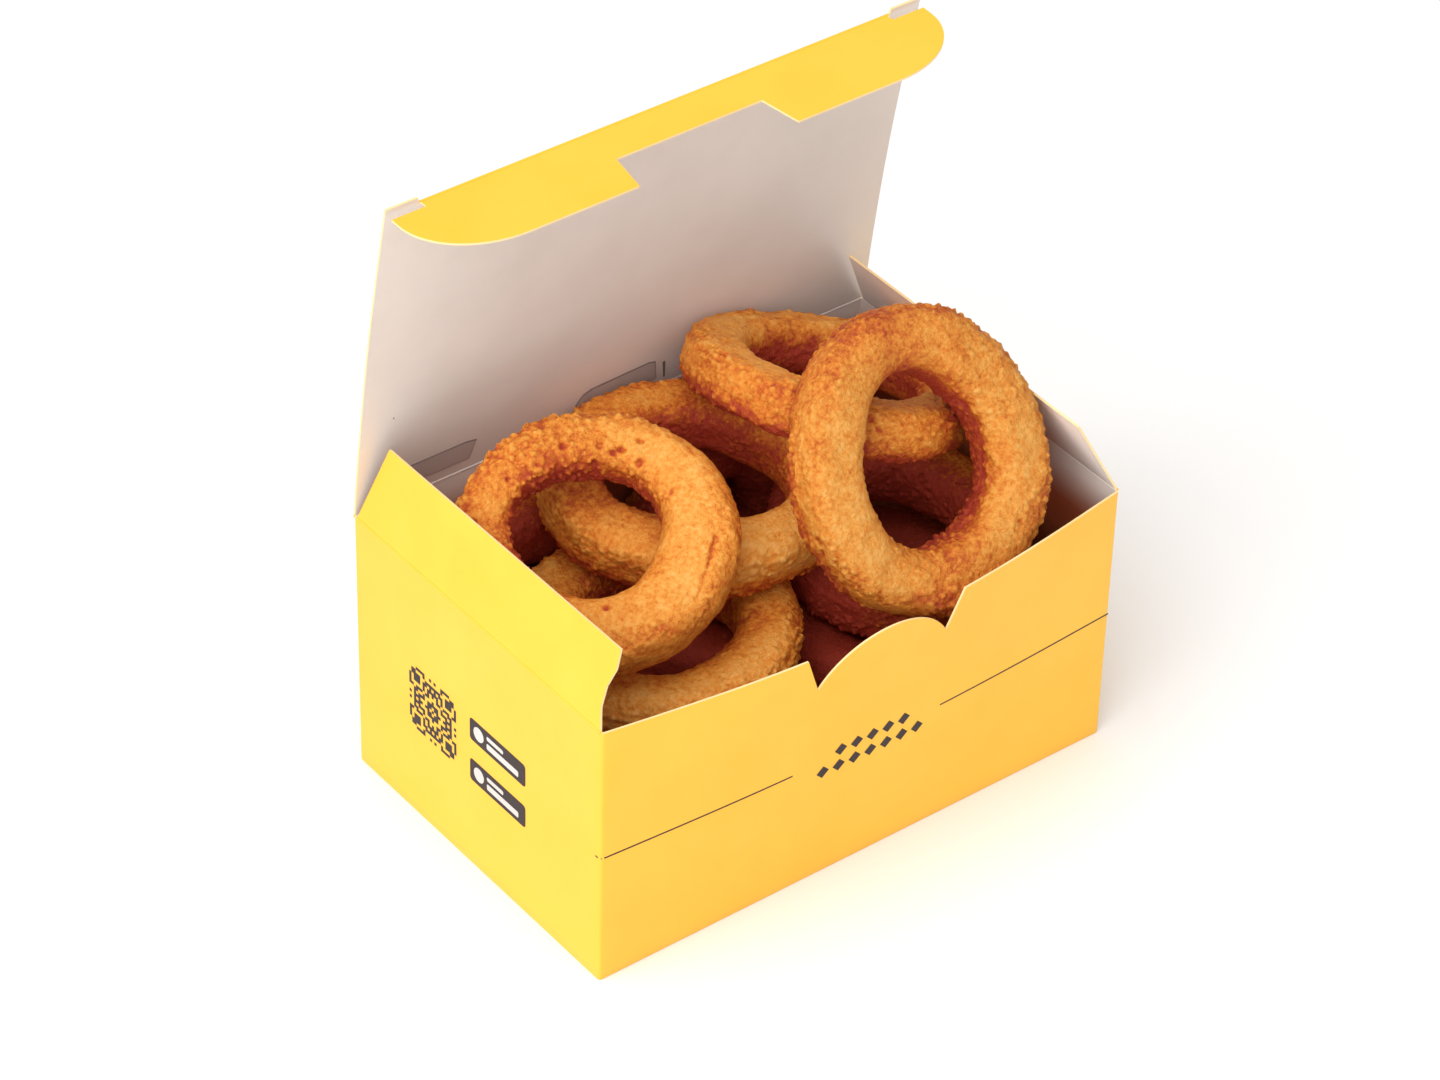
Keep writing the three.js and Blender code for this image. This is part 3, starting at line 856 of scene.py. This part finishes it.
def make_ring(name, level, seed, lines, crust):
    """A ring with its crust's relief, and its browning with painted light and shade written to its points.
    """
    mesh = subdivided(name, level)
    count = len(mesh.vertices)
    points = np.zeros(count * 3)
    mesh.vertices.foreach_get("co", points)
    points = points.reshape(-1, 3)
    normals = np.zeros(count * 3, np.float32)
    mesh.vertex_normals.foreach_get("vector", normals)
    normals = normals.reshape(-1, 3).astype(float)
    around = tube_angle(points)
    occlusion_shade = occlusion(points, normals, name, lines)

    q = points / MM
    compass = np.arctan2(q[:, 1] - q[:, 1].mean(), q[:, 0] - q[:, 0].mean())
    shifted = q + seed * RING_SHIFT
    noises = [layered_noise(shifted, size, seed + offset, layers)
              for size, offset, layers in CRUST_NOISES.values()]
    lumps, knobs, grain, patches, wander = noises
    cosine = np.cos(around + BAND_WANDER * wander)
    rim = band(cosine, *RIM_BAND)
    hole = band(cosine, *HOLE_BAND)
    sandy = patches
    if name in PITTED_SIDE:
        sandy = patches + PITTED_SIDE_SHARE * np.cos(compass - math.radians(PITTED_SIDE[name]))
    rough = ROUGHNESS["base"] + ROUGHNESS["rim"] * rim + ROUGHNESS["hole"] * hole
    rough += ROUGHNESS["sandy"] * sandy
    rough = np.clip(rough, *ROUGHNESS_RANGE)
    distance, reach = strewn(shifted, seed, CRUMBS)
    crumbs = np.clip(1 - (distance / reach) ** 2, 0, 1)
    pits = pit_depth(name, q, shifted, seed, grain, sandy)
    crack = crack_depth(name, q, knobs)

    height = RELIEF["base"] + RELIEF["lumps"] * lumps + RELIEF["knobs"] * knobs
    height += RELIEF["flats"] * np.cos(4 * around)
    height += rough * (ROUGH_RELIEF["crumbs"] * crumbs + ROUGH_RELIEF["knobs"] * np.maximum(knobs, 0)
                       + ROUGH_RELIEF["grain"] * grain)
    height += RELIEF["pits"] * pits + RELIEF["crack"] * crack
    points = keep_inside(points + normals * (height * MM)[:, None])
    mesh.vertices.foreach_set("co", points.astype(np.float32).ravel())

    brown_and_shade = RING_BROWNING[name] + BROWNING_AND_SHADE["lumps"] * lumps + BROWNING_AND_SHADE["knobs"] * knobs
    brown_and_shade += BROWNING_AND_SHADE["patches"] * patches
    # Painted light: upper sides lighter, under sides darker; the hole band is partly real browning, partly
    # painted shade
    brown_and_shade += (BROWNING_AND_SHADE["rim"] * rim + BROWNING_AND_SHADE["hole"] * hole + BROWNING_AND_SHADE["upward"] * normals[:, 2]
              + BROWNING_AND_SHADE["base"])
    # Painted shade in pits and cracks, and painted highlights on raised grain and crumbs
    brown_and_shade += (BROWNING_AND_SHADE["hollows"] * np.maximum(pits, crack) + BROWNING_AND_SHADE["grain"] * grain
              + rough * (ROUGH_BROWNING_AND_HIGHLIGHT["base"] + ROUGH_BROWNING_AND_HIGHLIGHT["crumbs"] * crumbs))
    # Painted shade: darker where the other rings and the ring's own far side close in round a point
    brown_and_shade += BROWNING_AND_SHADE["occlusion_shade"] * ramp(occlusion_shade, *OCCLUSION_SHADE_RANGE)
    # Paler sides: partly painted light, partly uneven frying
    for angle, sides, paler in PALE_AND_LIT_SIDES.get(name, ()):
        brown_and_shade -= paler * np.cos(sides * (compass - math.radians(angle)))
    # The material's patterns are added in full, so half of their reach is taken off here
    brown_and_shade -= (BLOTCH_SHARE + SPECK_SHARE + CRUMB_SHARE) / 2
    add_layer(mesh, "brown_and_shade", brown_and_shade)
    # Each ring's painted light and shade, as a scale of its colours
    add_layer(mesh, "shade", np.full(count, RING_PAINTED_LIGHT.get(name, 1.0)))
    mesh.materials.clear()
    mesh.materials.append(crust)
    mesh.polygons.foreach_set("material_index", np.zeros(len(mesh.polygons), np.int32))
    mesh.shade_smooth()
    mesh.update()
    mesh.name = name + "_crust"
    return place(link(bpy.data.objects.new(name + "_crust", mesh)), "carton", name)


# Print

def wall_station(s):
    """Outer point of the front wall at x = s. Past its left end it runs on along the left wall."""
    half = LENGTH / 2
    edge = half - CORNER
    if s >= -edge:
        return (s, -DEPTH / 2, 0, -1)
    turn = min(math.pi / 2, (-edge - s) / CORNER)
    nx, ny = -math.sin(turn), -math.cos(turn)
    x, y = -edge + CORNER * nx, -(DEPTH / 2 - CORNER) + CORNER * ny
    rest = max(0, (-edge - s) - CORNER * math.pi / 2)
    return (x, y + rest, nx, ny)


def front_patch(outline):
    """A printed patch on the front wall from corners given as (x, z)."""
    points = []
    for s, z in outline:
        x, y, nx, ny = wall_station(s)
        shift = front_bow(x, z) * max(0, -ny)
        points.append((x + nx * PRINT_LIFT, y + ny * PRINT_LIFT - shift, z))
    return points


def join_patches(name, patches, material):
    points = []
    faces = []
    for patch in patches:
        faces.append(tuple(range(len(points), len(points) + len(patch))))
        points += patch
    obj = mesh_object(name, points, faces, [material], [0] * len(faces))
    return place(obj, "carton")


def make_front_print(ink):
    """The thin line, which runs on round the left corner, and two rows of plain diamonds."""
    patches = []
    for start, end in ((-LENGTH / 2 - LINE_WRAP, LINE_LEFT_END), (LINE_RIGHT_START, LINE_RIGHT_END)):
        cuts = spread(start, end, LINE_PIECES)
        for a, b in zip(cuts, cuts[1:]):
            patches.append(front_patch([(a, LINE_LOW), (b, LINE_LOW), (b, LINE_HIGH), (a, LINE_HIGH)]))
    for count, z in DIAMOND_ROWS:
        for i in range(count):
            x = (i - (count - 1) / 2) * DIAMOND_PITCH + DIAMOND_SHIFT
            left, right = x - DIAMOND_HALF_WIDTH, x + DIAMOND_HALF_WIDTH
            low, high = z - DIAMOND_HALF_HEIGHT, z + DIAMOND_HALF_HEIGHT
            patches.append(front_patch([(left, z), (x, low), (right, z), (x, high)]))
    join_patches("front_print", patches, ink)


def side_patch(outline, lift=PRINT_LIFT):
    """A patch on the left wall from corners given as (y, z), against the clock as the wall is seen."""
    return [(-LENGTH / 2 - lift, y, z) for y, z in outline]


def rounded_box(y0, z0, y1, z1, radius, steps=5):
    """The outline of a box with rounded corners, in the order that `side_patch` asks for."""
    corners = [(y1 - radius, z0 + radius, -90), (y1 - radius, z1 - radius, 0),
               (y0 + radius, z1 - radius, 90), (y0 + radius, z0 + radius, 180)]
    outline = []
    for cy, cz, start in corners:
        for a in spread(math.radians(start), math.radians(start + 90), steps):
            outline.append((cy + radius * math.cos(a), cz + radius * math.sin(a)))
    return outline[::-1]


def make_side_print(ink, pale):
    """A symmetric square of small squares, and two dark badges with a plain disc and two bars each."""
    generator = np.random.default_rng(SQUARES_SEED)
    middle = SQUARES // 2
    quarter = generator.random((middle + 1, middle + 1))
    quarter = (quarter + quarter.T) / 2
    dark = []
    pitch = SQUARES_SIDE / SQUARES
    for i in range(SQUARES):
        for j in range(SQUARES):
            if quarter[min(i, SQUARES - 1 - i), min(j, SQUARES - 1 - j)] > SQUARES_SHARE:
                continue
            y, z = SQUARES_Y + i * pitch, SQUARES_Z + j * pitch
            dark.append(side_patch([(y, z), (y, z + pitch), (y + pitch, z + pitch), (y + pitch, z)]))
    light = []
    high = BADGE_Y + BADGE_WIDTH
    for low in BADGE_BOTTOMS:
        dark.append(side_patch(rounded_box(BADGE_Y, low, high, low + BADGE_HEIGHT, BADGE_CORNER)))
        centre = low + BADGE_HEIGHT / 2
        disc = rounded_box(high - DISC_START, centre - DISC_HALF_HEIGHT, high - DISC_END,
                           centre + DISC_HALF_HEIGHT, DISC_CORNER)
        light.append(side_patch(disc, 2 * PRINT_LIFT))
        for bar_low, bar_high, bar_start in BARS:
            bar = rounded_box(BADGE_Y + bar_start, centre + bar_low, high - BAR_END, centre + bar_high,
                              BAR_CORNER, BAR_CORNER_STEPS)
            light.append(side_patch(bar, 2 * PRINT_LIFT))
    join_patches("side_print", dark, ink)
    join_patches("badge_marks", light, pale)


# Materials

def shader_material(name, roughness, specular=0.5):
    material = bpy.data.materials.new(name)
    material.use_nodes = True
    shader = material.node_tree.nodes["Principled BSDF"]
    shader.inputs["Roughness"].default_value = roughness
    shader.inputs["Specular IOR Level"].default_value = specular
    return material, material.node_tree, shader


def noise_node(tree, scale, detail=3.0, roughness=0.55):
    coordinates = tree.nodes.new("ShaderNodeTexCoord")
    noise = tree.nodes.new("ShaderNodeTexNoise")
    noise.inputs["Scale"].default_value = scale
    noise.inputs["Detail"].default_value = detail
    noise.inputs["Roughness"].default_value = roughness
    tree.links.new(coordinates.outputs["Object"], noise.inputs["Vector"])
    return noise


def add_bump(tree, shader, height, strength, distance):
    bump = tree.nodes.new("ShaderNodeBump")
    bump.inputs["Strength"].default_value = strength
    bump.inputs["Distance"].default_value = distance
    tree.links.new(height, bump.inputs["Height"])
    tree.links.new(bump.outputs["Normal"], shader.inputs["Normal"])


def color_ramp(tree, source, stops):
    node = tree.nodes.new("ShaderNodeValToRGB")
    elements = node.color_ramp.elements
    while len(elements) < len(stops):
        elements.new(0.5)
    for element, (position, color) in zip(elements, stops):
        element.position = position
        element.color = (*color, 1)
    tree.links.new(source, node.inputs["Fac"])
    return node


def board_material(name, low, high, roughness, fibre):
    """Board mottled between two colours, with fine fibres as a bump."""
    material, tree, shader = shader_material(name, roughness)
    mottle = noise_node(tree, MOTTLE_SCALE)
    colors = color_ramp(tree, mottle.outputs["Fac"], list(zip(MOTTLE_RANGE, (low, high))))
    tree.links.new(colors.outputs["Color"], shader.inputs["Base Color"])
    grain = noise_node(tree, FIBRE_SCALE, 4.0)
    add_bump(tree, shader, grain.outputs["Fac"], fibre, FIBRE_DEPTH)
    return material


def add_painted_shade(material, painted_shade):
    """Blends a board by its attribute of painted shade towards a warm dark colour: painted shade and
    reflected light beside the fried food.
    """
    tree = material.node_tree
    shader = tree.nodes["Principled BSDF"]
    plain = shader.inputs["Base Color"].links[0].from_socket
    amount = tree.nodes.new("ShaderNodeAttribute")
    amount.attribute_name = "painted_shade"
    mix = tree.nodes.new("ShaderNodeMix")
    mix.data_type = "RGBA"
    colors = [socket for socket in mix.inputs if socket.type == "RGBA"]
    result = [socket for socket in mix.outputs if socket.type == "RGBA"][0]
    tree.links.new(amount.outputs["Fac"], mix.inputs["Factor"])
    tree.links.new(plain, colors[0])
    colors[1].default_value = (*painted_shade, 1)
    tree.links.new(result, shader.inputs["Base Color"])


def add_scaled(tree, source, share, base):
    """A node's output that is `source` times `share` plus `base`."""
    node = tree.nodes.new("ShaderNodeMath")
    node.operation = "MULTIPLY_ADD"
    node.inputs[1].default_value = share
    tree.links.new(source, node.inputs[0])
    tree.links.new(base, node.inputs[2])
    return node.outputs["Value"]


def crust_material():
    """Fried batter, coloured by browning with painted light and shade, and by three fine patterns, then
    scaled by a painted light and shade per ring.
    """
    material, tree, shader = shader_material("crust", CRUST_ROUGHNESS, CRUST_SPECULAR)
    shader.inputs["Subsurface Weight"].default_value = SUBSURFACE_WEIGHT
    shader.inputs["Subsurface Radius"].default_value = SUBSURFACE_RADIUS
    shader.inputs["Subsurface Scale"].default_value = SUBSURFACE_SCALE
    brown_and_shade = tree.nodes.new("ShaderNodeAttribute")
    brown_and_shade.attribute_name = "brown_and_shade"
    blotch = noise_node(tree, BLOTCH_SCALE)
    speck = noise_node(tree, SPECK_SCALE, 4.0, 0.7)
    crumb = tree.nodes.new("ShaderNodeTexVoronoi")
    crumb.inputs["Scale"].default_value = CRUMB_SCALE
    coordinates = tree.nodes.new("ShaderNodeTexCoord")
    tree.links.new(coordinates.outputs["Object"], crumb.inputs["Vector"])
    total = add_scaled(tree, blotch.outputs["Fac"], BLOTCH_SHARE, brown_and_shade.outputs["Fac"])
    total = add_scaled(tree, speck.outputs["Fac"], SPECK_SHARE, total)
    total = add_scaled(tree, crumb.outputs["Distance"], CRUMB_SHARE, total)
    colors = color_ramp(tree, total, CRUST_COLORS)
    shade = tree.nodes.new("ShaderNodeAttribute")
    shade.attribute_name = "shade"
    shaded = tree.nodes.new("ShaderNodeVectorMath")
    shaded.operation = "SCALE"
    tree.links.new(colors.outputs["Color"], shaded.inputs[0])
    tree.links.new(shade.outputs["Fac"], shaded.inputs["Scale"])
    tree.links.new(shaded.outputs["Vector"], shader.inputs["Base Color"])
    relief = add_scaled(tree, crumb.outputs["Distance"], CRUMB_BUMP, speck.outputs["Fac"])
    add_bump(tree, shader, relief, 1.0, BUMP_DEPTH)
    return material


# Stage

def make_camera():
    azimuth = math.radians(CAMERA_AZIMUTH)
    elevation = math.radians(CAMERA_ELEVATION)
    roll = math.radians(CAMERA_ROLL)
    level = math.cos(elevation)
    back = Vector((math.sin(azimuth) * level, -math.cos(azimuth) * level, math.sin(elevation)))
    right = (-back).cross(Vector((0, 0, 1))).normalized()
    up = right.cross(-back)
    turned_right = math.cos(roll) * right + math.sin(roll) * up
    turned_up = -math.sin(roll) * right + math.cos(roll) * up
    at = CAMERA_RIGHT * turned_right + CAMERA_UP * turned_up + CAMERA_DISTANCE * back
    data = bpy.data.cameras.new("camera")
    data.sensor_width = SENSOR_MM
    data.lens = FOCAL_PX * SENSOR_MM / IMAGE_WIDTH
    data.clip_end = CAMERA_REACH
    obj = link(bpy.data.objects.new("camera", data))
    rotation = Matrix((turned_right, turned_up, back)).transposed()
    obj.matrix_world = Matrix.Translation(at) @ rotation.to_4x4()
    bpy.context.scene.camera = obj


def make_floor():
    material, _, shader = shader_material("floor", FLOOR_ROUGHNESS)
    shader.inputs["Base Color"].default_value = FLOOR_COLOR
    half = FLOOR_HALF
    corners = [(-half, -half, 0), (half, -half, 0), (half, half, 0), (-half, half, 0)]
    mesh = bpy.data.meshes.new("floor")
    mesh.from_pydata(corners, [], [(0, 1, 2, 3)])
    mesh.materials.append(material)
    link(bpy.data.objects.new("floor", mesh))


def add_area_light(name, place_at, size, power):
    data = bpy.data.lights.new(name, "AREA")
    data.energy = power
    data.size = size
    obj = link(bpy.data.objects.new(name, data))
    direction = Vector(LIGHT_TARGET) - Vector(place_at)
    rotation = direction.to_track_quat("-Z", "Y").to_matrix()
    obj.matrix_world = Matrix.Translation(place_at) @ rotation.to_4x4()


def make_lights():
    world = bpy.data.worlds.new("studio")
    bpy.context.scene.world = world
    world.use_nodes = True
    background = world.node_tree.nodes["Background"]
    background.inputs["Color"].default_value = WORLD_COLOR
    background.inputs["Strength"].default_value = WORLD_STRENGTH
    for name, (place_at, size, power) in LIGHTS.items():
        add_area_light(name, place_at, size, power)


def clear_scene():
    for obj in list(bpy.data.objects):
        bpy.data.objects.remove(obj)


# Scene

clear_scene()
bpy.context.scene.view_settings.view_transform = "Standard"
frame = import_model()
make_camera()
make_floor()
make_lights()

boards = {name: board_material(name, *look) for name, look in BOARDS.items()}
for name, painted_shade in PAINTED_SHADE_COLORS.items():
    add_painted_shade(boards[name], painted_shade)
crust = crust_material()
board, inside, edge = boards["board_print"], boards["board_inside"], boards["board_edge"]

lines = {name: centre_line(name) for name in RING_BROWNING}
paint_board_shade(make_carton(board, inside, edge), lines)
paint_board_shade(make_lid(board, inside, edge), lines, LID_PAINTED_SHADE)
make_lid_marks(boards["shaded_strip_board"], boards["shadow_and_speck_board"])
make_tuck_flap(board, inside, edge)
make_dust_flap("left_flap", -1, LEFT_FLAP, [board, inside, edge])
right_flap = make_dust_flap("right_flap", 1, RIGHT_FLAP, [board, boards["lit_flap_inside"], edge])
paint_board_shade(right_flap, lines, FLAP_PAINTED_SHADE)
make_creases([board, boards["pale_fold_board"]])
make_front_print(boards["ink"])
make_side_print(boards["ink"], boards["pale_print"])
for seed, name in enumerate(RING_BROWNING):
    level = COARSE_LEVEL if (name in HIDDEN_RINGS) else FINE_LEVEL
    make_ring(name, level, seed + 1, lines, crust)
